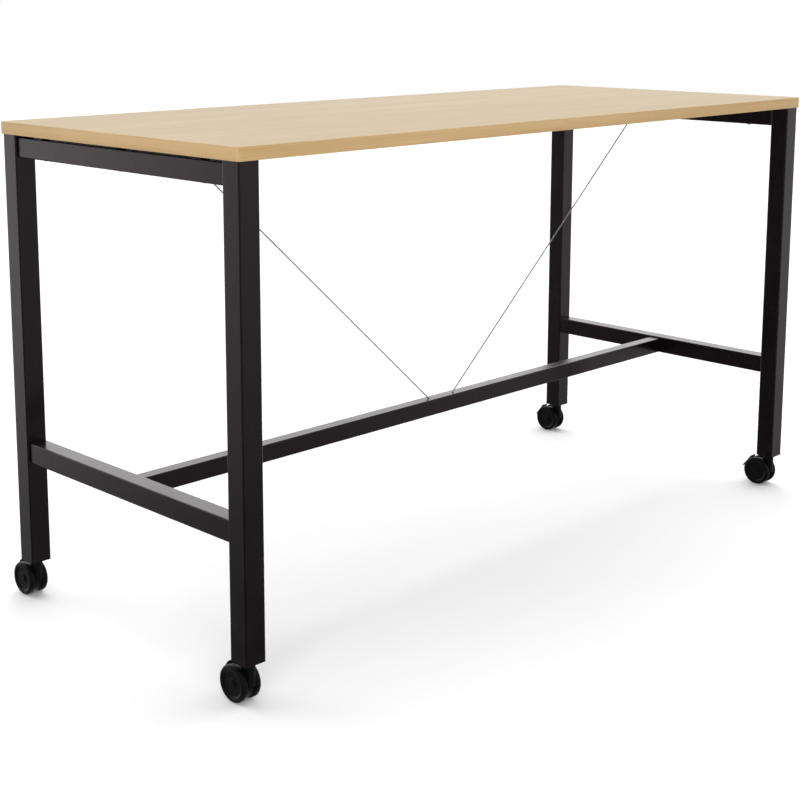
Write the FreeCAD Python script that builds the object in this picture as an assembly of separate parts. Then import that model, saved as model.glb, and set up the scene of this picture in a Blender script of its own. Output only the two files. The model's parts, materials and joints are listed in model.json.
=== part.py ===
import FreeCAD, Part
import math
import os

from FreeCAD import Vector

# High table on casters: a laminated board on two welded end frames, tied by a stretcher and two wire braces.
# X runs along the table, Y from front to rear and Z up.
# The origin is on the floor, under the middle of the board.
# All lengths are in millimetres and all angles in degrees.

# Board
top_length = 1800.0
top_depth = 750.0
table_height = 1000.0
core_thickness = 23.4
laminate_thickness = 0.8
backer_thickness = 0.8
band_thickness = 2.0
corner_radius = 10.0
edge_round = 1.5

# End frames
leg_side = 45.0
leg_wall = 2.0
leg_corner = 3.0
leg_inset = 5.0
leg_plate_thickness = 3.0
rail_width = 38.0
rail_wall = 1.6
rail_corner = 2.5
rail_recess = 5.0
top_rail_height = 40.0
top_rail_gap = 5.0
lower_rail_height = 42.0
lower_rail_top = 340.0

# Stretcher, and the spigots that its ends slide over
stretcher_width = 30.0
stretcher_height = 37.0
stretcher_wall = 1.6
stretcher_corner = 2.0
stretcher_drop = 4.0
spigot_length = 60.0
spigot_wall = 4.0
spigot_screw_inset = 15.0
spigot_screw_pitch = 28.0

# Machine screws, which hold the board and the stretcher
screw_diameter = 6.0
screw_head_diameter = 10.5
screw_head_height = 3.3
screw_socket_width = 4.0
screw_socket_depth = 1.8
screw_tip_length = 2.0
top_screw_pitch = 250.0
spacer_diameter = 16.0
insert_diameter = 10.0
insert_length = 12.0

# Wire braces, from the stretcher's top to brackets under the board
brace_foot_x = 40.0
brace_top_setback = 145.0
wire_diameter = 3.0
ball_diameter = 8.0
stud_diameter = 5.0
stud_length = 26.0
stud_end_length = 3.0
brace_nut_width = 8.0
brace_nut_height = 4.0
bracket_thickness = 2.5
bracket_width = 30.0
bracket_length = 45.0
bracket_tab_setback = 20.0
bracket_tab_tail = 9.0
bracket_bend = 2.0
bracket_corner = 4.0
wood_screw_diameter = 4.0
wood_screw_head_diameter = 8.0
wood_screw_head_height = 2.4
wood_screw_cross_length = 4.4
wood_screw_cross_width = 1.3
wood_screw_cross_depth = 1.4
wood_screw_length = 15.0
wood_screw_spread = 16.0
wood_screw_inset = 12.0

# Casters: twin wheels on an axle that trails the swivel stem
wheel_diameter = 70.0
wheel_width = 12.5
wheel_gap = 17.0
wheel_round = 4.3
wheel_rim_height = 8.0
wheel_dish_depth = 3.0
wheel_hub_diameter = 22.0
wheel_hub_setback = 2.0
caster_trail = 23.3
axle_diameter = 8.0
axle_head_diameter = 15.0
axle_head_thickness = 1.4
guard_drop = 4.5
guard_round = 1.2
neck_diameter = 26.0
neck_height = 6.8
neck_round = 1.5
stem_diameter = 10.0
stem_drop = 27.0
plug_height = 35.0
washer_diameter = 22.0
washer_thickness = 1.5

# Brake pedal: a plate that lies along both treads, on an arm that pivots between the guard's cheeks
pedal_slope = 38.0
pedal_width = 20.0
pedal_thickness = 2.4
pedal_up_length = 13.9
pedal_down_length = 24.7
pedal_round = 1.0
pedal_arm_width = 8.0
pedal_boss_diameter = 9.0
pedal_pivot_back = 10.0
pedal_pivot_depth = 6.5
pedal_swing_room = 10.0
pedal_pin_diameter = 4.0

# Clearances, the overrun of cuts, the tolerance for picking edges by their place, and how much of a wall
# the rounding of its edge may take
fit_gap = 0.2
hole_gap = 0.1
wire_hole_gap = 0.35
running_gap = 0.05
face_gap = 0.2
wheel_side_gap = 0.5
wheel_top_gap = 1.5
pedal_tread_gap = 0.6
overrun = 5.0
same_place = 0.001
round_limit_share = 0.9

# Places that follow from the sizes above
top_thickness = core_thickness + laminate_thickness + backer_thickness
underside = table_height - top_thickness
core_bottom = underside + backer_thickness
core_top = core_bottom + core_thickness
wheel_radius = wheel_diameter / 2
neck_bottom = wheel_diameter + wheel_top_gap
neck_top = neck_bottom + neck_height
leg_bottom = neck_top + face_gap + washer_thickness
leg_x = top_length / 2 - leg_inset - leg_side / 2
leg_y = top_depth / 2 - leg_inset - leg_side / 2
leg_bore = leg_side - 2 * leg_wall
rail_x = top_length / 2 - leg_inset - rail_recess - rail_width / 2
rail_end_y = leg_y - leg_side / 2
top_rail_top = underside - top_rail_gap
top_rail_bottom = top_rail_top - top_rail_height
stretcher_top = lower_rail_top - stretcher_drop
stretcher_bottom = stretcher_top - stretcher_height
stretcher_end_x = rail_x - rail_width / 2
brace_top_x = top_length / 2 - brace_top_setback
bracket_bottom = underside - bracket_thickness
guard_radius = wheel_radius - guard_drop
guard_half = wheel_gap / 2 - wheel_side_gap
wheel_inner_x = wheel_gap / 2
wheel_outer_x = wheel_inner_x + wheel_width
wheel_hub_x = wheel_outer_x - wheel_hub_setback
pedal_plate_depth = wheel_radius + pedal_tread_gap
pedal_pivot_out = guard_radius - pedal_pivot_depth

LEFT, RIGHT, FRONT, REAR = -1, 1, -1, 1
ENDS = {"left": LEFT, "right": RIGHT}
CORNERS = {
    "front_left": (LEFT, FRONT),
    "rear_left": (LEFT, REAR),
    "rear_right": (RIGHT, REAR),
    "front_right": (RIGHT, FRONT),
}
X_AXIS, Y_AXIS, Z_AXIS = Vector(1, 0, 0), Vector(0, 1, 0), Vector(0, 0, 1)


def rounded_block(low, high, axis, radius):
    """A box between two corners, with the edges along one axis rounded."""
    size = high - low
    box = Part.makeBox(size.x, size.y, size.z, low)
    edges = [e for e in box.Edges if abs(e.tangentAt(e.FirstParameter).dot(axis)) > 0.5]
    return box.makeFillet(radius, edges) if radius > 0 else box


def tube(low, high, axis, radius, wall):
    """A square tube along an axis, open at both ends."""
    across = Vector(wall, wall, wall) - axis * wall
    past = axis * overrun
    hollow = rounded_block(low + across - past, high - across + past, axis, radius - wall)
    return rounded_block(low, high, axis, radius).cut(hollow)


def rod(start, end, diameter):
    """A round bar between two points."""
    along = end - start
    return Part.makeCylinder(diameter / 2, along.Length, start, along)


def bore(start, end, diameter):
    """A cutter along a line, which runs past both of its ends."""
    past = (end - start) * (overrun / (end - start).Length)
    return rod(start - past, end + past, diameter)


def ring(start, end, outer_diameter, hole_diameter):
    """A round bar with a hole along it."""
    return rod(start, end, outer_diameter).cut(bore(start, end, hole_diameter))


def hexagon(start, end, width):
    """A hexagonal bar between two points, of a given width across its flats."""
    along = end - start
    side = along.cross(Y_AXIS)
    side.normalize()
    reach = width / math.sqrt(3)
    turns = [math.radians(60 * step) for step in range(7)]
    points = [start + side * (reach * math.cos(t)) + Y_AXIS * (reach * math.sin(t)) for t in turns]
    return Part.Face(Part.makePolygon(points)).extrude(along)


def cut_all(shape, cutters):
    """A shape with every cutter taken out of it."""
    for cutter in cutters:
        shape = shape.cut(cutter)
    return shape


def edges_at_height(shape, height):
    """The edges of a shape that lie in one level plane."""
    def off(value):
        return abs(value - height)
    return [e for e in shape.Edges if max(off(e.BoundBox.ZMin), off(e.BoundBox.ZMax)) < same_place]


def upright_screw(seat, tip_height):
    """A button-head screw that points up, with its head under the seat and a hexagon socket in the head."""
    bottom = seat - Z_AXIS * screw_head_height
    head = rod(bottom, seat, screw_head_diameter)
    head = head.makeFillet(screw_head_height / 2, edges_at_height(head, bottom.z))
    shank = rod(seat, Vector(seat.x, seat.y, tip_height), screw_diameter)
    socket = hexagon(bottom - Z_AXIS * overrun, bottom + Z_AXIS * screw_socket_depth, screw_socket_width)
    return head.fuse(shank).cut(socket)


# Board


def board_layer(inset, bottom, top):
    """A level sheet with the board's rounded outline, drawn in from it on all sides."""
    low = Vector(inset - top_length / 2, inset - top_depth / 2, bottom)
    high = Vector(top_length / 2 - inset, top_depth / 2 - inset, top)
    return rounded_block(low, high, Z_AXIS, corner_radius - inset)


def edge_band():
    """The strip round the board's four sides, with its outer arrises rounded."""
    outer = board_layer(0, underside, table_height)
    arrises = edges_at_height(outer, underside) + edges_at_height(outer, table_height)
    outer = outer.makeFillet(min(edge_round, band_thickness * round_limit_share), arrises)
    return outer.cut(board_layer(band_thickness, underside - overrun, table_height + overrun))


def top_screw_places():
    """The points on the floor plan where a screw goes up through a top rail into the board."""
    return [Vector(end * rail_x, step * top_screw_pitch, 0) for end in ENDS.values() for step in (-1, 0, 1)]


def blind_hole(place, depth_height, diameter):
    """A cutter that goes up into the board from below it, to a given height."""
    return rod(place + Z_AXIS * (underside - overrun), place + Z_AXIS * depth_height, diameter)


def board_pieces():
    pockets = [blind_hole(place, core_bottom + insert_length, insert_diameter + 2 * hole_gap)
               for place in top_screw_places()]
    pilot_top = bracket_bottom + wood_screw_length + hole_gap
    pilots = [blind_hole(place, pilot_top, wood_screw_diameter + 2 * hole_gap)
              for place in wood_screw_places()]
    return {
        "top_core": cut_all(board_layer(band_thickness, core_bottom, core_top), pockets + pilots),
        "top_laminate": board_layer(band_thickness, core_top, table_height),
        "underside_backer": cut_all(board_layer(band_thickness, underside, core_bottom), pockets + pilots),
        "edge_band": edge_band(),
    }


def board_fixings():
    """The screws that hold the board on the top rails, with their spacers and the inserts in the core."""
    clear_hole = screw_diameter + 2 * hole_gap
    spacers, screws, inserts = [], [], []
    for place in top_screw_places():
        def at(height):
            return place + Z_AXIS * height
        spacers.append(ring(at(top_rail_top), at(underside), spacer_diameter, clear_hole))
        screws.append(upright_screw(at(top_rail_bottom), core_bottom + insert_length - screw_tip_length))
        inserts.append(ring(at(core_bottom), at(core_bottom + insert_length), insert_diameter, clear_hole))
    return {"top_spacers": spacers, "top_screws": screws, "top_inserts": inserts}


# End frames


def leg_filler(end, side, bottom, top):
    """A block that fills a leg's bore between two heights, less its fitting gap."""
    half = leg_bore / 2 - fit_gap
    low = Vector(end * leg_x - half, side * leg_y - half, bottom)
    high = Vector(end * leg_x + half, side * leg_y + half, top)
    return rounded_block(low, high, Z_AXIS, leg_corner - leg_wall)


def leg(end, side):
    half = leg_side / 2
    low = Vector(end * leg_x - half, side * leg_y - half, leg_bottom)
    high = Vector(end * leg_x + half, side * leg_y + half, underside)
    return tube(low, high, Z_AXIS, leg_corner, leg_wall)


def cross_rail(end, bottom, top):
    """A rail between the two legs of one end frame."""
    low = Vector(end * rail_x - rail_width / 2, -rail_end_y, bottom)
    high = Vector(end * rail_x + rail_width / 2, rail_end_y, top)
    return tube(low, high, Y_AXIS, rail_corner, rail_wall)


def end_frame_pieces():
    screw_hole = screw_diameter + 2 * hole_gap
    screw_bores = [bore(place + Z_AXIS * top_rail_bottom, place + Z_AXIS * top_rail_top, screw_hole)
                   for place in top_screw_places()]
    pieces = {}
    for name, (end, side) in CORNERS.items():
        pieces["leg_" + name] = leg(end, side)
    for name, end in ENDS.items():
        pieces["top_rail_" + name] = cut_all(cross_rail(end, top_rail_bottom, top_rail_top), screw_bores)
        pieces["lower_rail_" + name] = cross_rail(end, lower_rail_top - lower_rail_height, lower_rail_top)
    plate_bottom = underside - leg_plate_thickness
    pieces["leg_top_plates"] = [leg_filler(end, side, plate_bottom, underside)
                                for end, side in CORNERS.values()]
    return pieces


# Stretcher


def spigot_screw_places():
    """The points where a screw goes up through the stretcher's lower wall into a spigot."""
    steps = (spigot_screw_inset, spigot_screw_inset + spigot_screw_pitch)
    return [Vector(end * (stretcher_end_x - step), 0, stretcher_bottom)
            for end in ENDS.values() for step in steps]


def spigot(end):
    """A stub of tube that is welded to a lower rail and fills the stretcher's end."""
    gap = stretcher_wall + fit_gap
    ends_x = sorted((end * stretcher_end_x, end * (stretcher_end_x - spigot_length)))
    low = Vector(ends_x[0], gap - stretcher_width / 2, stretcher_bottom + gap)
    high = Vector(ends_x[1], stretcher_width / 2 - gap, stretcher_top - gap)
    return tube(low, high, X_AXIS, stretcher_corner - stretcher_wall, spigot_wall)


def stretcher_pieces():
    low = Vector(-stretcher_end_x, -stretcher_width / 2, stretcher_bottom)
    high = Vector(stretcher_end_x, stretcher_width / 2, stretcher_top)
    tip_height = stretcher_bottom + stretcher_wall + fit_gap + spigot_wall + screw_tip_length
    screw_hole = screw_diameter + 2 * hole_gap
    screw_bores = [rod(p - Z_AXIS * overrun, p + Z_AXIS * (tip_height - p.z), screw_hole)
                   for p in spigot_screw_places()]
    wire_bores = []
    for end in ENDS.values():
        brace = Brace(end)
        past_foot = brace.foot + brace.along * overrun
        wire_bores.append(rod(brace.ball, past_foot, wire_diameter + 2 * wire_hole_gap))
    pieces = {"stretcher": cut_all(tube(low, high, X_AXIS, stretcher_corner, stretcher_wall),
                                   screw_bores + wire_bores)}
    for name, end in ENDS.items():
        pieces["stretcher_spigot_" + name] = cut_all(spigot(end), screw_bores)
    pieces["stretcher_screws"] = [upright_screw(p, tip_height) for p in spigot_screw_places()]
    return pieces


# Wire braces


class Brace:
    """The line of one wire, and the points along it where its ends are held."""

    def __init__(self, end):
        self.foot = Vector(end * brace_foot_x, 0, stretcher_top)
        top = Vector(end * brace_top_x, 0, underside)
        self.along = top - self.foot
        self.along.normalize()
        self.down = Vector(end * self.along.z, 0, -end * self.along.x)
        ball_drop = stretcher_wall + ball_diameter / 2 + hole_gap
        self.ball = self.foot - self.along * (ball_drop / self.along.z)
        self.tab = top - self.along * bracket_tab_setback
        self.tab_face = self.tab + self.along * (bracket_thickness / 2)
        self.nut_end = self.tab_face + self.along * brace_nut_height
        self.base_x = self.slide(self.tab_face, underside).x - end * bracket_length

    def slide(self, point, height):
        """The point at a given height on the line through a point, square to the wire."""
        return point + self.down * ((height - point.z) / self.down.z)


def wood_screw_places():
    """The points on the floor plan where a bracket is screwed to the board."""
    places = []
    for end in ENDS.values():
        x = Brace(end).base_x + end * wood_screw_inset
        places += [Vector(x, side * wood_screw_spread / 2, 0) for side in (FRONT, REAR)]
    return places


def brace_wire(brace):
    """A wire with a ball under the stretcher's upper wall and a threaded stud in the bracket's tab."""
    stud_start = brace.tab - brace.along * stud_length
    wire = rod(brace.ball, stud_start, wire_diameter)
    stud = rod(stud_start, brace.nut_end + brace.along * stud_end_length, stud_diameter)
    return wire.fuse([Part.makeSphere(ball_diameter / 2, brace.ball), stud])


def bent_strip(outline, half_width, outer_bend, inner_bend):
    """A strip of sheet metal with a given side outline, with round free corners and a round bend."""
    side_face = Part.Face(Part.makePolygon([p - half_width for p in outline + outline[:1]]))
    strip = side_face.extrude(half_width * 2)
    corners = [e for e in strip.Edges if abs(e.Length - bracket_thickness) < same_place]
    strip = strip.makeFillet(bracket_corner, corners)
    for bend, radius in ((outer_bend, bracket_bend + bracket_thickness), (inner_bend, bracket_bend)):
        middle = Part.Vertex(bend)
        strip = strip.makeFillet(radius, [e for e in strip.Edges if e.distToShape(middle)[0] < same_place])
    return strip


def brace_bracket(brace):
    """A bent strip: a base under the board, and a tab square to the wire."""
    near = brace.tab - brace.along * (bracket_thickness / 2)
    tail = brace.down * bracket_tab_tail
    outer_bend = brace.slide(brace.tab_face, underside)
    inner_bend = brace.slide(near, bracket_bottom)
    outline = [
        Vector(brace.base_x, 0, underside),
        outer_bend,
        brace.tab_face + tail,
        near + tail,
        inner_bend,
        Vector(brace.base_x, 0, bracket_bottom),
    ]
    strip = bent_strip(outline, Y_AXIS * (bracket_width / 2), outer_bend, inner_bend)
    stud_hole = bore(near, brace.tab_face, stud_diameter + 2 * hole_gap)
    screw_hole = wood_screw_diameter + 2 * hole_gap
    screw_bores = [bore(p + Z_AXIS * bracket_bottom, p + Z_AXIS * underside, screw_hole)
                   for p in wood_screw_places()]
    return cut_all(strip, [stud_hole] + screw_bores)


def cross_recess(bottom):
    """The two cutters of a cross in the underside of a screw's head."""
    half_length, half_width = wood_screw_cross_length / 2, wood_screw_cross_width / 2
    arms = []
    for half_x, half_y in ((half_length, half_width), (half_width, half_length)):
        low = bottom - Vector(half_x, half_y, overrun)
        high = bottom + Vector(half_x, half_y, wood_screw_cross_depth)
        arms.append(rounded_block(low, high, Z_AXIS, 0))
    return arms


def wood_screw(place):
    """A pan-head screw that holds a bracket up to the board, with a cross in its head."""
    seat = place + Z_AXIS * bracket_bottom
    bottom = seat - Z_AXIS * wood_screw_head_height
    head = rod(bottom, seat, wood_screw_head_diameter)
    head = head.makeFillet(wood_screw_head_height / 2, edges_at_height(head, bottom.z))
    shank = rod(seat, seat + Z_AXIS * wood_screw_length, wood_screw_diameter)
    return cut_all(head.fuse(shank), cross_recess(bottom))


def brace_pieces():
    pieces = {"brace_nuts": [], "bracket_screws": [wood_screw(p) for p in wood_screw_places()]}
    for name, end in ENDS.items():
        brace = Brace(end)
        pieces["brace_wire_" + name] = brace_wire(brace)
        pieces["brace_bracket_" + name] = brace_bracket(brace)
        nut = hexagon(brace.tab_face, brace.nut_end, brace_nut_width)
        nut_bore = bore(brace.tab_face, brace.nut_end, stud_diameter + 2 * hole_gap)
        pieces["brace_nuts"].append(nut.cut(nut_bore))
    return pieces


# Casters, drawn about a swivel axis that stands at the origin


def pedal_point(along, out):
    """A point by its place along the pedal plate and its distance out from the axle."""
    turn = math.radians(pedal_slope)
    y = along * math.sin(turn) + out * math.cos(turn)
    z = out * math.sin(turn) - along * math.cos(turn)
    return Vector(0, caster_trail + y, wheel_radius + z)


def pedal_block(along_low, along_high, out_low, out_high, width):
    """A block that is square to the pedal plate and lies across the caster's middle."""
    corners = [(along_low, out_low), (along_high, out_low), (along_high, out_high), (along_low, out_high)]
    points = [pedal_point(along, out) - X_AXIS * (width / 2) for along, out in corners + corners[:1]]
    return Part.Face(Part.makePolygon(points)).extrude(X_AXIS * width)


def cross_pin(centre, half_length, diameter):
    """A round bar along X, centred on the caster's middle."""
    return rod(centre - X_AXIS * half_length, centre + X_AXIS * half_length, diameter)


AXLE = Vector(0, caster_trail, wheel_radius)
PEDAL_PIVOT = pedal_point(-pedal_pivot_back, pedal_pivot_out)


def caster_body():
    """The guard disc between the wheels, with the neck that turns on the stem and the pedal arm's slot."""
    disc = cross_pin(AXLE, guard_half, 2 * guard_radius)
    disc = disc.makeFillet(guard_round, [e for e in disc.Edges if e.Closed])
    slab = rounded_block(Vector(-guard_half, -neck_diameter, wheel_radius),
                         Vector(guard_half, neck_diameter, neck_bottom), Z_AXIS, 0)
    post = rod(Z_AXIS * wheel_radius, Z_AXIS * neck_bottom, neck_diameter).common(slab)
    cap = rod(Z_AXIS * neck_bottom, Z_AXIS * neck_top, neck_diameter)
    cap = cap.makeFillet(neck_round, edges_at_height(cap, neck_top))
    boss = pedal_boss_diameter / 2 + face_gap
    slot = pedal_block(-pedal_pivot_back - pedal_swing_room, -pedal_pivot_back + boss,
                       pedal_pivot_out - boss, guard_radius + overrun, pedal_arm_width + 2 * fit_gap)
    stem_bore = rod(Z_AXIS * (leg_bottom - stem_drop - face_gap), Z_AXIS * (neck_top + overrun),
                    stem_diameter + 2 * running_gap)
    axle_bore = cross_pin(AXLE, wheel_gap, axle_diameter + 2 * running_gap)
    pin_bore = cross_pin(PEDAL_PIVOT, wheel_gap, pedal_pin_diameter + 2 * running_gap)
    return cut_all(disc.fuse([post, cap]), [slot, stem_bore, axle_bore, pin_bore])


def arc(start, corner_centre, radius, end):
    """A quarter round between two points about a centre."""
    middle = (start + end) / 2 - corner_centre
    middle.normalize()
    return Part.Arc(start, corner_centre + middle * radius, end).toShape()


def wheel(side):
    """A crowned wheel with a dished outer face and a raised hub, turned about the axle."""
    def at(x, radius):
        return AXLE + Vector(side * x, 0, radius)
    bore_radius = axle_diameter / 2 + running_gap
    crown = wheel_radius - wheel_round
    rim = wheel_radius - wheel_rim_height
    dish_x = wheel_outer_x - wheel_dish_depth
    hub = wheel_hub_diameter / 2
    inner_round = wheel_inner_x + wheel_round
    outer_round = wheel_outer_x - wheel_round
    before = [at(wheel_inner_x, bore_radius), at(wheel_inner_x, crown)]
    after = [
        at(wheel_outer_x, crown),
        at(wheel_outer_x, rim),
        at(dish_x, rim - wheel_dish_depth),
        at(dish_x, hub),
        at(wheel_hub_x, hub - (wheel_dish_depth - wheel_hub_setback)),
        at(wheel_hub_x, bore_radius),
        at(wheel_inner_x, bore_radius),
    ]
    edges = Part.makePolygon(before).Edges
    edges.append(arc(before[1], at(inner_round, crown), wheel_round, at(inner_round, wheel_radius)))
    edges.append(Part.makeLine(at(inner_round, wheel_radius), at(outer_round, wheel_radius)))
    edges.append(arc(at(outer_round, wheel_radius), at(outer_round, crown), wheel_round, after[0]))
    edges += Part.makePolygon(after).Edges
    return Part.Face(Part.Wire(edges)).revolve(AXLE, X_AXIS, 360)


def caster_axle():
    """The fixed axle, with a head outside each wheel's hub."""
    head_x = wheel_hub_x + face_gap
    heads = [rod(AXLE + X_AXIS * (side * head_x), AXLE + X_AXIS * (side * (head_x + axle_head_thickness)),
                 axle_head_diameter) for side in (LEFT, RIGHT)]
    return cross_pin(AXLE, head_x, axle_diameter).fuse(heads)


def brake_pedal():
    plate_out = pedal_plate_depth + pedal_thickness
    plate = pedal_block(-pedal_up_length, pedal_down_length, pedal_plate_depth, plate_out, pedal_width)
    ends = [e for e in plate.Edges if abs(e.tangentAt(e.FirstParameter).dot(X_AXIS)) > 0.5]
    plate = plate.makeFillet(min(pedal_round, pedal_thickness / 2 * round_limit_share), ends)
    arm_half = pedal_boss_diameter / 2
    arm = pedal_block(-pedal_pivot_back - arm_half, -pedal_pivot_back + arm_half,
                      pedal_pivot_out, (pedal_plate_depth + plate_out) / 2, pedal_arm_width)
    boss = cross_pin(PEDAL_PIVOT, pedal_arm_width / 2, pedal_boss_diameter)
    pin_bore = cross_pin(PEDAL_PIVOT, wheel_gap, pedal_pin_diameter + 2 * running_gap)
    return plate.fuse([arm, boss]).cut(pin_bore)


def caster_pieces():
    models = {
        "caster_body_": lambda end: caster_body(),
        "caster_axle_": lambda end: caster_axle(),
        "wheel_outer_": wheel,
        "wheel_inner_": lambda end: wheel(-end),
        "brake_pedal_": lambda end: brake_pedal(),
        "pedal_pin_": lambda end: cross_pin(PEDAL_PIVOT, guard_half, pedal_pin_diameter),
    }
    pieces = {}
    for name, (end, side) in CORNERS.items():
        for prefix, model in models.items():
            pieces[prefix + name] = model(end).translated(Vector(end * leg_x, side * leg_y, 0))
    return pieces


def stem_pieces():
    """What holds the casters in the legs: a plug in each foot, a stem through it and a washer under it."""
    plugs, stems, washers = [], [], []
    stem_hole = stem_diameter + 2 * hole_gap
    for end, side in CORNERS.values():
        axis = Vector(end * leg_x, side * leg_y, 0)
        foot = axis + Z_AXIS * leg_bottom
        plug_top = foot + Z_AXIS * plug_height
        plug = leg_filler(end, side, leg_bottom, plug_top.z)
        plugs.append(plug.cut(bore(foot, plug_top, stem_hole)))
        stems.append(rod(foot - Z_AXIS * stem_drop, plug_top, stem_diameter))
        washers.append(ring(foot - Z_AXIS * washer_thickness, foot, washer_diameter, stem_hole))
    return {"leg_foot_plugs": plugs, "caster_stems": stems, "caster_washers": washers}


def all_pieces():
    pieces = {}
    for made in (board_pieces(), board_fixings(), end_frame_pieces(), stretcher_pieces(), brace_pieces(),
                 stem_pieces(), caster_pieces()):
        pieces.update(made)
    return pieces


os.makedirs("parts", exist_ok=True)
for node, made in all_pieces().items():
    shape = Part.makeCompound(made) if isinstance(made, list) else made
    shape.exportStep("parts/" + node + ".step")
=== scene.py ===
import bpy
import bmesh
import json
import math
from mathutils import Matrix, Vector


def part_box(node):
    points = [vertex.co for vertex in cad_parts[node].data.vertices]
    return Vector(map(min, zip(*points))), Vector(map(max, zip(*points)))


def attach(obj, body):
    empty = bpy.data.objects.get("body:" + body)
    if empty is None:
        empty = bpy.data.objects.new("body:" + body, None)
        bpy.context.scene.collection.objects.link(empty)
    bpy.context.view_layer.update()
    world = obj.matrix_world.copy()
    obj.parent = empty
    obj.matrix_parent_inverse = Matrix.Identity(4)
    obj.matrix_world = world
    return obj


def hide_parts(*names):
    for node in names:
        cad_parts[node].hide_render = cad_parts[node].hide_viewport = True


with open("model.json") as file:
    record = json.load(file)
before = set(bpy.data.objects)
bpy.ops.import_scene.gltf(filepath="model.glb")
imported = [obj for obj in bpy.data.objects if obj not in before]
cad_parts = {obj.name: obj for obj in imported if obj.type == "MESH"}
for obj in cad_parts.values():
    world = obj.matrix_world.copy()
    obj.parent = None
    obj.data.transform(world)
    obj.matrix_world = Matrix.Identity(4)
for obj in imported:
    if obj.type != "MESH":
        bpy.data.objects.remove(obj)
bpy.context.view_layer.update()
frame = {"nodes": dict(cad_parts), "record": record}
nodes = frame["nodes"]

# Sizes in metres and angles in degrees; X runs along the table, Y from front to rear, Z up.
MM = 0.001
LEFT, RIGHT = -1, 1
ENDS = {"left": LEFT, "right": RIGHT}
CORNERS = {"front_left": LEFT, "rear_left": LEFT, "rear_right": RIGHT, "front_right": RIGHT}
Y_AXIS = Vector((0.0, 1.0, 0.0))

# Places in the box of a node: its two corners, and the X and the Z of a corner
LOW, HIGH = 0, 1
X, Z = 0, 2

# Profiles: the angles of an arc back along the axis, square out from it and ahead along it, and its steps
BACKWARD = 180.0
OUTWARD = 90.0
FORWARD = 0.0
ROUND_STEPS = 10

# Edges stay crisp where two faces meet at more than this angle
SHARP_ANGLE = 32.0

# Wheels: the tread and its mould seam, the groove in the rim, the dished face and the hub
WHEEL_RADIUS = 35.0 * MM
WHEEL_INNER = 8.5 * MM
WHEEL_OUTER = 21.0 * MM
WHEEL_ROUND = 4.3 * MM
WHEEL_BORE = 4.05 * MM
SEAM_HALF = 0.35 * MM
SEAM_DEPTH = 0.25 * MM
GROOVE_RADIUS = 29.0 * MM
GROOVE_HALF = 0.6 * MM
GROOVE_DEPTH = 0.5 * MM
RIM_RADIUS = 27.0 * MM
RIM_SLOPE = 0.27 * MM
DISH_RADIUS = 24.0 * MM
DISH_DEPTH = 3.0 * MM
DISH_ROUND = 0.8 * MM
HUB_RADIUS = 11.0 * MM
HUB_TOP_RADIUS = 10.0 * MM
HUB_SETBACK = 2.0 * MM
WHEEL_STEPS = 96

# Axle, with a rounded cap at each end
AXLE_RADIUS = 4.0 * MM
CAP_RADIUS = 7.5 * MM
CAP_INNER = 19.2 * MM
CAP_THICKNESS = 1.4 * MM
CAP_ROUND = 0.7 * MM

# Brake pedal: the grip ribs on its upper face, one below the other down its slope
PEDAL_SLOPE = 38.0
PEDAL_FACE = 38.0 * MM
RIB_FIRST = 2.0 * MM
RIB_PITCH = 4.5 * MM
RIBS = 5
RIB_LENGTH = 16.0 * MM
RIB_RADIUS = 0.9 * MM
RIB_SINK = 0.3 * MM
RIB_CAP_ANGLE = 8.0
RIB_STEPS = 16

# Wire braces: a seven-strand rope, the ball under the stretcher's wall, the sleeve and the threaded stud
BRACE_FOOT_X = 40.0 * MM
BRACE_TOP_SETBACK = 145.0 * MM
BALL_DROP = 5.7 * MM
BALL_RADIUS = 4.0 * MM
BALL_CAP_ANGLE = 5.0
END_STEPS = 32
TAB_SETBACK = 20.0 * MM
STUD_BELOW_TAB = 26.0 * MM
STUD_ABOVE_TAB = 8.25 * MM
STUD_RADIUS = 2.5 * MM
SLEEVE_LENGTH = 12.0 * MM
SLEEVE_ROUND = 0.6 * MM
THREAD_PITCH = 0.8 * MM
THREAD_DEPTH = 0.45 * MM
THREAD_RINGS = 8
THREAD_STEPS = 24
STRAND_RADIUS = 0.5 * MM
STRAND_LAY = 1.0 * MM
LAY_LENGTH = 22.0 * MM
LAID_STRANDS = 6
STRAND_STEP = 1.8 * MM
STRAND_SIDES = 8

# Camera, at the photograph's viewing angle
EYE = Vector((-2.468, -2.288, 1.2415))
EYE_YAW = 45.36
EYE_PITCH = 9.76
EYE_LENS = 67.35
EYE_SENSOR = 36.0
EYE_SHIFT = (0.0293, -0.18)

# Light round the table, by direction: each row is an axis, the span along it and the strengths at its ends
UP = (0.0, 0.0, 1.0)
BRIGHT_WALL = ((0.616, 0.788, 0.0), (-0.35, 0.75), (0.48, 1.75))
DARK_LEFT = ((1.0, 0.0, 0.0), (-0.90, -0.42), (0.08, 1.0))
DARK_LOWER_HALF = (UP, (-0.48, -0.10), (0.03, 1.0))
BRIGHT_CEILING = (UP, (0.30, 0.85), (1.0, 1.7))
DIM_RIGHT = ((0.940, -0.342, 0.0), (0.92, 1.0), (1.0, 0.72))
BRIGHT_LEFT_END = ((-1.0, 0.0, 0.0), (0.93, 0.985), (1.0, 18.0))
BRIGHT_FLOOR = (UP, (-0.62, -0.42), (12.0, 1.0))
LIGHT_ROWS = (BRIGHT_WALL, DARK_LEFT, DARK_LOWER_HALF, BRIGHT_CEILING, DIM_RIGHT, BRIGHT_LEFT_END,
              BRIGHT_FLOOR)

# A large soft lamp in front of the table and to its left, and the floor
FILL_PLACE = Vector((-7.6, -6.8, 3.6))
FILL_TARGET = Vector((0.0, 0.0, 0.8))
FILL_SIZE = (8.0, 6.0)
FILL_POWER = 690.0
FLOOR_RADIUS = 14.0
FLOOR_STEPS = 96

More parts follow.
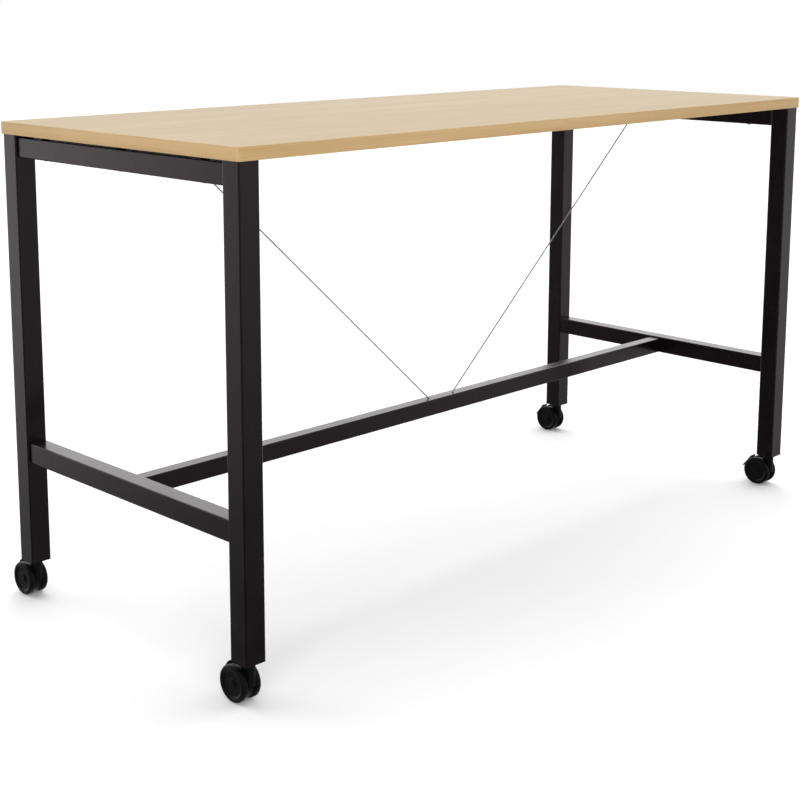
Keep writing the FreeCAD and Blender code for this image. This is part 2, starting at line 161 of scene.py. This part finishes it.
# Linear colours, in pairs where a finish goes from one to another, and shares that make a pair of one colour
WHITE = (1.0, 1.0, 1.0)
OAK_FACE = ((0.365, 0.272, 0.160), (0.436, 0.345, 0.222))
OAK_EDGE = ((0.374, 0.236, 0.100), (0.474, 0.326, 0.159))
CHIP_TONES = ((0.52, 0.36, 0.20), (0.30, 0.18, 0.09))
# The backing sheet's dark brown: partly the sheet's own colour, partly painted shade for the gap between the
# board and the top rails
BACKER_BROWN_AND_GAP_SHADE = ((0.020, 0.015, 0.012), (0.030, 0.023, 0.018))
POWDER_COAT = (0.0030, 0.0018, 0.0022)
POWDER_GLOSS = (1.0, 0.80, 0.84)
CASTER_BLACK = (0.0030, 0.0027, 0.0032)
BRASS = (0.70, 0.48, 0.20)
ZINC = (0.58, 0.59, 0.61)
DRAWN_WIRE = (0.62, 0.62, 0.63)
FLOOR_WHITE = ((0.90, 0.90, 0.90), (0.93, 0.93, 0.93))
POWDER_SHARES = (0.85, 1.15)
MOULDED_SHARES = (0.8, 1.3)
METAL_SHARES = (0.82, 1.0)
OPAQUE = 1.0

# Wood grain: the stretch of each layer of noise along and across the grain, then its detail, grit and swirl
GRAIN_BANDS = ((0.5, 9.0, 9.0), 3.0, 0.5, 0.6)
GRAIN_STREAKS = ((1.3, 70.0, 70.0), 5.0, 0.6, 0.3)
GRAIN_FIBRES = ((6.0, 420.0, 420.0), 3.0, 0.6, 0.0)
GRAIN_PORES = ((22.0, 900.0, 900.0), 2.0, 0.55, 0.0)
BAND_SHARE = 0.45
STREAK_SHARE = 0.55
BROAD_SHARE = 0.75
FIBRE_SHARE = 0.25
GRAIN_SPAN = (0.36, 0.62)
PORE_SPAN = (0.60, 0.72)
PORE_COLOUR_SHARE = 0.22
PORE_SHADE_SHARE = 0.55
PORE_DEPTH_SHARE = 0.6
END_FACING = 0.7

# Flakes of the chipboard, flattened along Z
CHIP_SCALE = 420.0
CHIP_STRETCH = (1.0, 1.0, 2.2)

# Other noises: the scale, the detail and the grit
BACKER_MOTTLE = (60.0, 5.0, 0.55)
BACKER_SKIN = (1400.0, 2.0, 0.55)
POWDER_PEEL = (650.0, 2.0, 0.5)
POWDER_CLOUD = (14.0, 3.0, 0.55)
MOULDED_PATCH = (45.0, 3.0, 0.55)
FLOOR_SPECKLE = (3.0, 3.0, 0.55)

# Noises whose scale or stretch each finish sets: the detail and the grit
MOULDED_SKIN = (3.0, 0.6)
METAL_MARKS = (3.0, 0.6)

# Roughness at the two ends of a span of noise, shine, and bumps as a strength and a height
NOISE_SPAN = (0.3, 0.7)
FIBRE_SPAN = (0.2, 0.8)
FLAKE_SPAN = (0.0, 0.7)
FACE_ROUGHNESS = (0.62, 0.52)
EDGE_ROUGHNESS = (0.46, 0.38)
CHIP_ROUGHNESS = 0.85
BACKER_ROUGHNESS = (0.55, 0.70)
POWDER_ROUGHNESS = (0.22, 0.29)
FLOOR_ROUGHNESS = 0.9
FACE_SHINE = 0.15
EDGE_SHINE = 0.30
MOULDED_SHINE = 0.14
FLOOR_SHINE = 0.0
POWDER_IOR = 1.5
FACE_BUMP = (0.10, 0.2 * MM)
EDGE_BUMP = (0.08, 0.2 * MM)
CHIP_BUMP = (0.4, 0.6 * MM)
BACKER_BUMP = (0.15, 0.1 * MM)
POWDER_BUMP = (0.05, 0.2 * MM)
METAL_BUMP = (0.12, 0.1 * MM)
MOULDED_HEIGHT = 0.2 * MM

# Black mouldings and blackened steel: the roughness, then the scale and the bump strength of the skin
BLACK_FINISHES = {
    "spacer_plastic": ((0.50, 0.60), 1500.0, 0.10),
    "plug_plastic": ((0.50, 0.60), 1500.0, 0.10),
    "caster_plastic": ((0.42, 0.55), 1400.0, 0.12),
    "wheel_plastic": ((0.34, 0.48), 1700.0, 0.08),
    "pedal_plastic": ((0.40, 0.52), 1400.0, 0.12),
    "black_steel": ((0.30, 0.40), 1200.0, 0.05),
}

# Bare and plated metals: the colour, the roughness and the stretch of the tool marks
METAL_FINISHES = {
    "insert_brass": (BRASS, (0.25, 0.40), (900.0, 900.0, 2500.0)),
    "zinc_steel": (ZINC, (0.28, 0.42), (700.0, 700.0, 700.0)),
    "wire_steel": (DRAWN_WIRE, (0.32, 0.46), (1200.0, 1200.0, 1200.0)),
}

# Sockets of a mix node, by number, because those for numbers and those for colours have the same names
MIX_FACTOR = 0
MIX_NUMBERS = {"type": "FLOAT", "first": 2, "second": 3, "result": 0}
MIX_COLOURS = {"type": "RGBA", "first": 6, "second": 7, "result": 2}


# Node trees


class Tree:
    """A node tree, with short names for the nodes that the finishes and the light are made of."""

    def __init__(self, tree):
        self.tree = tree

    def add(self, kind, **settings):
        node = self.tree.nodes.new(kind)
        for name, value in settings.items():
            setattr(node, name, value)
        return node

    def link(self, start, end):
        self.tree.links.new(start, end)

    def feed(self, socket, value):
        """Gives a socket a number or a colour directly, and anything else by a link."""
        if isinstance(value, tuple):
            socket.default_value = (*value, OPAQUE)
        elif isinstance(value, (int, float)):
            socket.default_value = value
        else:
            self.link(value, socket)

    def math(self, operation, first, second=0.0):
        node = self.add("ShaderNodeMath", operation=operation)
        for socket, value in zip(node.inputs, (first, second)):
            self.feed(socket, value)
        return node.outputs["Value"]

    def map_range(self, value, span, new_span=(0.0, 1.0), **settings):
        """A value that goes from one end of a new span to the other as it crosses a span."""
        node = self.add("ShaderNodeMapRange", **settings)
        for name, limit in zip(("From Min", "From Max", "To Min", "To Max"), (*span, *new_span)):
            node.inputs[name].default_value = limit
        self.link(value, node.inputs["Value"])
        return node.outputs["Result"]

    def mix(self, sockets, factor, first, second):
        """A mix of two numbers or of two colours."""
        node = self.add("ShaderNodeMix", data_type=sockets["type"])
        self.feed(node.inputs[MIX_FACTOR], factor)
        self.feed(node.inputs[sockets["first"]], first)
        self.feed(node.inputs[sockets["second"]], second)
        return node.outputs[sockets["result"]]


class Finish(Tree):
    """A material and its node tree."""

    def __init__(self, name):
        self.material = bpy.data.materials.new(name)
        self.material.use_nodes = True
        super().__init__(self.material.node_tree)
        self.shader = self.tree.nodes["Principled BSDF"]

    def place(self):
        """Where a point of the surface lies."""
        return self.add("ShaderNodeTexCoord").outputs["Object"]

    def facing(self):
        """Which way the surface looks."""
        return self.add("ShaderNodeTexCoord").outputs["Normal"]

    def split(self, vector):
        """The X, Y and Z of a vector."""
        node = self.add("ShaderNodeSeparateXYZ")
        self.link(vector, node.inputs["Vector"])
        return node.outputs

    def stretched(self, place, stretch):
        node = self.add("ShaderNodeMapping")
        node.inputs["Scale"].default_value = stretch
        self.link(place, node.inputs["Vector"])
        return node.outputs["Vector"]

    def noise(self, place, scale, detail, grit, swirl=0.0):
        node = self.add("ShaderNodeTexNoise")
        settings = {"Scale": scale, "Detail": detail, "Roughness": grit, "Distortion": swirl}
        for name, value in settings.items():
            node.inputs[name].default_value = value
        self.link(place, node.inputs["Vector"])
        return node.outputs["Fac"]

    def stretched_noise(self, place, stretch, *settings):
        return self.noise(self.stretched(place, stretch), 1.0, *settings)

    def weighted(self, first, first_share, second, second_share):
        """The sum of two values, each times its share."""
        return self.math("ADD", self.math("MULTIPLY", first, first_share),
                         self.math("MULTIPLY", second, second_share))

    def blend(self, factor, first, second):
        return self.mix(MIX_COLOURS, factor, first, second)

    def bump(self, height, strength, distance):
        node = self.add("ShaderNodeBump")
        node.inputs["Strength"].default_value = strength
        node.inputs["Distance"].default_value = distance
        self.link(height, node.inputs["Height"])
        self.set(Normal=node.outputs["Normal"])

    def set(self, **values):
        """Feeds sockets of the shader, whose names are written with underscores for spaces."""
        for name, value in values.items():
            self.feed(self.shader.inputs[name.replace("_", " ")], value)


# Finishes


def shade(colour, share):
    """A colour that is darker or lighter by a share."""
    return tuple(channel * share for channel in colour)


def shades(colour, shares):
    return [shade(colour, share) for share in shares]


def grain(made, along, tones):
    """Colour and fibre height of straight-grained wood, for a place whose X runs along the grain."""
    dark, light = tones
    bands = made.stretched_noise(along, *GRAIN_BANDS)
    streaks = made.stretched_noise(along, *GRAIN_STREAKS)
    fibres = made.stretched_noise(along, *GRAIN_FIBRES)
    pores = made.map_range(made.stretched_noise(along, *GRAIN_PORES), PORE_SPAN)
    broad = made.weighted(bands, BAND_SHARE, streaks, STREAK_SHARE)
    tone = made.weighted(broad, BROAD_SHARE, fibres, FIBRE_SHARE)
    colour = made.blend(made.map_range(tone, GRAIN_SPAN), dark, light)
    pored = made.math("MULTIPLY", pores, PORE_COLOUR_SHARE)
    colour = made.blend(pored, colour, shade(dark, PORE_SHADE_SHARE))
    height = made.math("SUBTRACT", fibres, made.math("MULTIPLY", pores, PORE_DEPTH_SHARE))
    return colour, height


def face_laminate():
    made = Finish("face_laminate")
    colour, height = grain(made, made.place(), OAK_FACE)
    roughness = made.map_range(height, FIBRE_SPAN, FACE_ROUGHNESS)
    made.set(Base_Color=colour, Roughness=roughness, Specular_IOR_Level=FACE_SHINE)
    made.bump(height, *FACE_BUMP)
    return made.material


def edge_laminate():
    """The band's grain runs along each side of the board."""
    made = Finish("edge_laminate")
    place = made.split(made.place())
    facing = made.split(made.facing())
    on_end = made.math("GREATER_THAN", made.math("ABSOLUTE", facing["X"]), END_FACING)
    on_side = made.math("SUBTRACT", 1.0, on_end)
    along = made.add("ShaderNodeCombineXYZ")
    made.link(made.weighted(place["Y"], on_end, place["X"], on_side), along.inputs["X"])
    made.link(place["Z"], along.inputs["Y"])
    colour, height = grain(made, along.outputs["Vector"], OAK_EDGE)
    roughness = made.map_range(height, FIBRE_SPAN, EDGE_ROUGHNESS)
    made.set(Base_Color=colour, Roughness=roughness, Specular_IOR_Level=EDGE_SHINE)
    made.bump(height, *EDGE_BUMP)
    return made.material


def chipboard():
    made = Finish("board_core")
    flakes = made.add("ShaderNodeTexVoronoi")
    flakes.inputs["Scale"].default_value = CHIP_SCALE
    made.link(made.stretched(made.place(), CHIP_STRETCH), flakes.inputs["Vector"])
    distance = flakes.outputs["Distance"]
    colour = made.blend(made.map_range(distance, FLAKE_SPAN), *CHIP_TONES)
    made.set(Base_Color=colour, Roughness=CHIP_ROUGHNESS)
    made.bump(distance, *CHIP_BUMP)
    return made.material


def backing_sheet():
    """A dark resin paper with a mottled, slightly rough face; its dark colour is also painted shade, so that
    the gap between the board and the top rails reads black.
    """
    made = Finish("backing_sheet")
    place = made.place()
    mottle = made.noise(place, *BACKER_MOTTLE)
    skin = made.noise(place, *BACKER_SKIN)
    # Dark mottled brown: the sheet's colour and also painted shade in the gap under the board
    made.set(Base_Color=made.blend(mottle, *BACKER_BROWN_AND_GAP_SHADE))
    made.set(Roughness=made.map_range(skin, NOISE_SPAN, BACKER_ROUGHNESS))
    made.bump(skin, *BACKER_BUMP)
    return made.material


def powder_coat():
    """A dark semi-gloss coat with a fine orange peel."""
    made = Finish("frame_paint")
    place = made.place()
    peel = made.noise(place, *POWDER_PEEL)
    cloud = made.noise(place, *POWDER_CLOUD)
    made.set(Base_Color=made.blend(cloud, *shades(POWDER_COAT, POWDER_SHARES)))
    made.set(Roughness=made.map_range(cloud, NOISE_SPAN, POWDER_ROUGHNESS))
    made.set(IOR=POWDER_IOR, Specular_Tint=POWDER_GLOSS)
    made.bump(peel, *POWDER_BUMP)
    return made.material


def moulded_black(name, roughness, scale, strength):
    """A black surface with a fine texture and patches of more or less gloss."""
    made = Finish(name)
    place = made.place()
    skin = made.noise(place, scale, *MOULDED_SKIN)
    patch = made.noise(place, *MOULDED_PATCH)
    made.set(Base_Color=made.blend(patch, *shades(CASTER_BLACK, MOULDED_SHARES)))
    made.set(Roughness=made.map_range(patch, NOISE_SPAN, roughness), Specular_IOR_Level=MOULDED_SHINE)
    made.bump(skin, strength, MOULDED_HEIGHT)
    return made.material


def metal(name, tint, roughness, stretch):
    """Bare or plated metal with fine tool marks."""
    made = Finish(name)
    marks = made.stretched_noise(made.place(), stretch, *METAL_MARKS)
    made.set(Base_Color=made.blend(marks, *shades(tint, METAL_SHARES)), Metallic=1.0)
    made.set(Roughness=made.map_range(marks, NOISE_SPAN, roughness))
    made.bump(marks, *METAL_BUMP)
    return made.material


def floor_paint():
    made = Finish("pale_floor")
    speckle = made.noise(made.place(), *FLOOR_SPECKLE)
    made.set(Base_Color=made.blend(speckle, *FLOOR_WHITE))
    made.set(Roughness=FLOOR_ROUGHNESS, Specular_IOR_Level=FLOOR_SHINE)
    return made.material


def all_finishes():
    """The finish of each material slot, by the slot's name."""
    finishes = {
        "face_laminate": face_laminate(),
        "edge_laminate": edge_laminate(),
        "board_core": chipboard(),
        "backing_sheet": backing_sheet(),
        "frame_paint": powder_coat(),
    }
    for slot, row in BLACK_FINISHES.items():
        finishes[slot] = moulded_black(slot, *row)
    for slot, row in METAL_FINISHES.items():
        finishes[slot] = metal(slot, *row)
    return finishes


FINISHES = all_finishes()


def finish_cad_nodes():
    """Gives every carried-over node the finish of its slot."""
    for row in frame["record"]["subparts"]:
        slots = nodes[row["node"]].data.materials
        slots.clear()
        slots.append(FINISHES[row["material_slot"]])


# Objects and meshes


def add_object(name, data):
    """An object of a mesh, a lamp or a camera, linked to the scene."""
    made = bpy.data.objects.new(name, data)
    bpy.context.scene.collection.objects.link(made)
    return made


def piece(name, shape, slot, body):
    """An object of a mesh under construction, with the finish of its slot, which moves with a body."""
    bmesh.ops.recalc_face_normals(shape, faces=shape.faces)
    mesh = bpy.data.meshes.new(name)
    shape.to_mesh(mesh)
    shape.free()
    mesh.shade_smooth()
    mesh.set_sharp_from_angle(angle=math.radians(SHARP_ANGLE))
    mesh.materials.append(FINISHES[slot])
    made = add_object(name, mesh)
    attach(made, body)
    return made


def round_points(centre, radius, start, end):
    """Points of an arc in a profile, from one angle to another."""
    along, out = centre
    turns = [math.radians(start + (end - start) * step / ROUND_STEPS) for step in range(ROUND_STEPS + 1)]
    return [(along + radius * math.cos(turn), out + radius * math.sin(turn)) for turn in turns]


def mirrored(profile, length=0.0):
    """The points of a profile from last to first, mirrored about the middle of a length from zero."""
    return [(length - along, radius) for along, radius in reversed(profile)]


def about_axis(along, radius, turn):
    """A point at a radius and an angle about the X axis."""
    return Vector((along, radius * math.cos(turn), radius * math.sin(turn)))


def full_turn(steps):
    """Angles that share out a full turn."""
    return [math.tau * step / steps for step in range(steps)]


def join_rings(shape, rings, closed):
    """Faces between each ring of points and the next, and from the last to the first if closed."""
    pairs = list(zip(rings, rings[1:]))
    if closed:
        pairs.append((rings[-1], rings[0]))
    for near, far in pairs:
        for step in range(len(near)):
            after = (step + 1) % len(near)
            shape.faces.new((near[step], near[after], far[after], far[step]))


def tube(shape, rings):
    """A body through rings of points, with a cap at each end."""
    join_rings(shape, rings, False)
    shape.faces.new(rings[0])
    shape.faces.new(rings[-1])


def turned_rings(shape, profile, place, steps):
    """Rings about the X axis, one for each (along, radius) point of a profile."""
    turns = full_turn(steps)
    return [[shape.verts.new(place @ about_axis(along, radius, turn)) for turn in turns]
            for along, radius in profile]


def turned(shape, profile, place, steps):
    """A body turned about its X axis, with a cap at each end of its profile."""
    tube(shape, turned_rings(shape, profile, place, steps))


# Casters


def caster_axle_place(corner):
    """The middle of a caster's axle, with X along it."""
    low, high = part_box("caster_axle_" + corner)
    return Matrix.Translation((Vector(low) + Vector(high)) / 2.0)


def wheel_profile():
    """The section of a wheel, as distances out from the caster's middle and from the axle's line."""
    crown = WHEEL_RADIUS - WHEEL_ROUND
    seam = (WHEEL_INNER + WHEEL_OUTER) / 2.0
    dish = WHEEL_OUTER - DISH_DEPTH
    hub = WHEEL_OUTER - HUB_SETBACK
    return [
        (WHEEL_INNER, WHEEL_BORE),
        *round_points((WHEEL_INNER + WHEEL_ROUND, crown), WHEEL_ROUND, BACKWARD, OUTWARD),
        (seam - SEAM_HALF, WHEEL_RADIUS),
        (seam, WHEEL_RADIUS - SEAM_DEPTH),
        (seam + SEAM_HALF, WHEEL_RADIUS),
        *round_points((WHEEL_OUTER - WHEEL_ROUND, crown), WHEEL_ROUND, OUTWARD, FORWARD),
        (WHEEL_OUTER, GROOVE_RADIUS + GROOVE_HALF),
        (WHEEL_OUTER - GROOVE_DEPTH, GROOVE_RADIUS),
        (WHEEL_OUTER, GROOVE_RADIUS - GROOVE_HALF),
        (WHEEL_OUTER, RIM_RADIUS + DISH_ROUND),
        (WHEEL_OUTER - RIM_SLOPE, RIM_RADIUS),
        (dish + DISH_ROUND, DISH_RADIUS),
        (dish, DISH_RADIUS - DISH_ROUND),
        (dish, HUB_RADIUS),
        (hub, HUB_TOP_RADIUS),
        (hub, WHEEL_BORE),
    ]


def wheels():
    """Two turned wheels for each caster, one on each side of its middle."""
    profile = wheel_profile()
    for corner, end in CORNERS.items():
        for kind, side in (("outer", end), ("inner", -end)):
            shape = bmesh.new()
            place = caster_axle_place(corner) @ Matrix.Diagonal((side, 1.0, 1.0, 1.0))
            join_rings(shape, turned_rings(shape, profile, place, WHEEL_STEPS), True)
            node = "wheel_" + kind + "_" + corner
            made = piece("turned_" + node, shape, "wheel_plastic", kind + "_wheel_" + corner)
            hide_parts(node)


def axle_profile():
    """The section of an axle with a rounded cap at each end."""
    cap_end = CAP_INNER + CAP_THICKNESS
    half = [(0.0, AXLE_RADIUS), (CAP_INNER, AXLE_RADIUS), (CAP_INNER, CAP_RADIUS)]
    half += round_points((cap_end - CAP_ROUND, CAP_RADIUS - CAP_ROUND), CAP_ROUND, OUTWARD, FORWARD)
    return mirrored(half[1:]) + half


def axles():
    """One turned axle for each caster."""
    profile = axle_profile()
    for corner in CORNERS:
        shape = bmesh.new()
        turned(shape, profile, caster_axle_place(corner), WHEEL_STEPS)
        made = piece("capped_axle_" + corner, shape, "caster_plastic", "caster_" + corner)
        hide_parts("caster_axle_" + corner)


def rib_profile():
    """The section of a rib with rounded ends, measured along it from its middle."""
    end_centre = (RIB_RADIUS - RIB_LENGTH / 2.0, 0.0)
    half = round_points(end_centre, RIB_RADIUS, BACKWARD - RIB_CAP_ANGLE, OUTWARD)
    return half + mirrored(half)


def pedal_ribs():
    """Rounded ribs across each pedal's face, for the foot's grip."""
    slope = math.radians(PEDAL_SLOPE)
    down = Vector((0.0, math.sin(slope), -math.cos(slope)))
    out = Vector((0.0, math.cos(slope), math.sin(slope)))
    rise = out * (PEDAL_FACE + RIB_SINK - RIB_RADIUS)
    profile = rib_profile()
    for corner in CORNERS:
        shape = bmesh.new()
        for number in range(RIBS):
            step = down * (RIB_FIRST + number * RIB_PITCH) + rise
            turned(shape, profile, caster_axle_place(corner) @ Matrix.Translation(step), RIB_STEPS)
        piece("pedal_ribs_" + corner, shape, "pedal_plastic", "pedal_" + corner)


# Wire braces


class Brace:
    """The line of one wire: its direction, a direction square to it, and the points where its parts end."""

    def __init__(self, end):
        top_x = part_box("edge_band")[HIGH][X] - BRACE_TOP_SETBACK
        foot = Vector((end * BRACE_FOOT_X, 0.0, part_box("stretcher")[HIGH][Z]))
        top = Vector((end * top_x, 0.0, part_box("underside_backer")[LOW][Z]))
        self.along = (top - foot).normalized()
        self.across = self.along.cross(Y_AXIS)
        self.ball = foot - self.along * (BALL_DROP / self.along.z)
        self.stud_start = top - self.along * (TAB_SETBACK + STUD_BELOW_TAB)
        self.thread_start = self.stud_start + self.along * SLEEVE_LENGTH
        self.stud_end = top - self.along * (TAB_SETBACK - STUD_ABOVE_TAB)

    def place(self, start):
        """A frame at a point of the line, with X along the wire."""
        axes = Matrix((self.along, Y_AXIS, self.across)).transposed()
        return Matrix.Translation(start) @ axes.to_4x4()


def strand(shape, place, length, radius, start_turn):
    """One strand of a rope, wound about the rope's line; a radius of zero is the core."""
    count = round(length / STRAND_STEP)
    section = [about_axis(0.0, STRAND_RADIUS, turn) for turn in full_turn(STRAND_SIDES)]
    rings = []
    for step in range(count + 1):
        along = length * step / count
        centre = about_axis(along, radius, start_turn + math.tau * along / LAY_LENGTH)
        rings.append([shape.verts.new(place @ (centre + corner)) for corner in section])
    tube(shape, rings)


def rope(shape, place, length):
    """A straight core and the strands laid round it."""
    strand(shape, place, length, 0.0, 0.0)
    for start_turn in full_turn(LAID_STRANDS):
        strand(shape, place, length, STRAND_LAY, start_turn)


def ball(shape, place):
    profile = round_points((0.0, 0.0), BALL_RADIUS, BACKWARD - BALL_CAP_ANGLE, FORWARD + BALL_CAP_ANGLE)
    turned(shape, profile, place, END_STEPS)


def sleeve(shape, place):
    """A pressed sleeve with rounded ends."""
    half = round_points((SLEEVE_ROUND, STUD_RADIUS - SLEEVE_ROUND), SLEEVE_ROUND, BACKWARD, OUTWARD)
    turned(shape, half + mirrored(half, SLEEVE_LENGTH), place, END_STEPS)


def thread(shape, place, length):
    """A stud with a thread along its whole length: a ridge that rises and falls once in each pitch."""
    count = round(length / THREAD_PITCH * THREAD_RINGS)
    rings = []
    for row in range(count + 1):
        along = length * row / count
        ring = []
        for step in range(THREAD_STEPS):
            turn = step / THREAD_STEPS
            phase = (along / THREAD_PITCH - turn) % 1.0
            radius = STUD_RADIUS - abs(phase - 0.5) * 2.0 * THREAD_DEPTH
            ring.append(shape.verts.new(place @ about_axis(along, radius, math.tau * turn)))
        rings.append(ring)
    tube(shape, rings)


def brace_wires():
    """Each wire as a laid rope with a ball, a pressed sleeve and a threaded stud."""
    for name, end in ENDS.items():
        brace = Brace(end)
        shape = bmesh.new()
        rope(shape, brace.place(brace.ball), (brace.stud_start - brace.ball).length + SLEEVE_ROUND)
        ball(shape, brace.place(brace.ball))
        sleeve(shape, brace.place(brace.stud_start))
        thread(shape, brace.place(brace.thread_start), (brace.stud_end - brace.thread_start).length)
        made = piece("wire_rope_" + name, shape, "wire_steel", "table")
        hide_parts("brace_wire_" + name)


# Stage


def pale_floor():
    """A wide pale disc under the table, left out of reflections."""
    mesh = bpy.data.meshes.new("floor")
    shape = bmesh.new()
    bmesh.ops.create_circle(shape, cap_ends=True, segments=FLOOR_STEPS, radius=FLOOR_RADIUS)
    shape.to_mesh(mesh)
    shape.free()
    mesh.materials.append(floor_paint())
    floor = add_object("floor", mesh)
    floor.visible_glossy = False


class Sky(Tree):
    """The world's node tree, with the light that comes from each direction."""

    def __init__(self):
        world = bpy.data.worlds.new("studio")
        bpy.context.scene.world = world
        world.use_nodes = True
        super().__init__(world.node_tree)
        self.direction = self.add("ShaderNodeTexCoord").outputs["Generated"]

    def ramp(self, axis, span, strengths):
        """A strength that changes smoothly along an axis of the directions."""
        along = self.add("ShaderNodeVectorMath", operation="DOT_PRODUCT")
        along.inputs[1].default_value = axis
        self.link(self.direction, along.inputs[0])
        return self.map_range(along.outputs["Value"], span, strengths, interpolation_type="SMOOTHSTEP")


def soft_sky():
    """White to look at; as a light, brightest behind the table and above it, and dimmest low on the left."""
    sky = Sky()
    light = 1.0
    for row in LIGHT_ROWS:
        light = sky.math("MULTIPLY", light, sky.ramp(*row))
    looked_at = sky.add("ShaderNodeLightPath").outputs["Is Camera Ray"]
    back = sky.tree.nodes["Background"].inputs
    sky.feed(back["Color"], WHITE)
    sky.feed(back["Strength"], sky.mix(MIX_NUMBERS, looked_at, light, 1.0))


def aim(made, start, direction):
    """Puts a lamp or a camera at a point and turns it to face a direction."""
    made.location = start
    made.rotation_mode = "QUATERNION"
    made.rotation_quaternion = direction.to_track_quat("-Z", "Y")


def fill_lamp():
    """A soft lamp, left out of reflections."""
    data = bpy.data.lights.new("fill", "AREA")
    data.shape = "RECTANGLE"
    data.size, data.size_y = FILL_SIZE
    data.energy = FILL_POWER
    lamp = add_object("fill", data)
    lamp.visible_glossy = False
    aim(lamp, FILL_PLACE, FILL_TARGET - FILL_PLACE)


def photo_camera():
    data = bpy.data.cameras.new("camera")
    data.sensor_width = EYE_SENSOR
    data.lens = EYE_LENS
    data.shift_x, data.shift_y = EYE_SHIFT
    yaw, pitch = math.radians(EYE_YAW), math.radians(EYE_PITCH)
    ahead = Vector((math.cos(yaw) * math.cos(pitch), math.sin(yaw) * math.cos(pitch), -math.sin(pitch)))
    camera = add_object("camera", data)
    aim(camera, EYE, ahead)
    bpy.context.scene.camera = camera


finish_cad_nodes()
wheels()
axles()
pedal_ribs()
brace_wires()
pale_floor()
soft_sky()
fill_lamp()
photo_camera()
bpy.context.scene.view_settings.view_transform = "Standard"
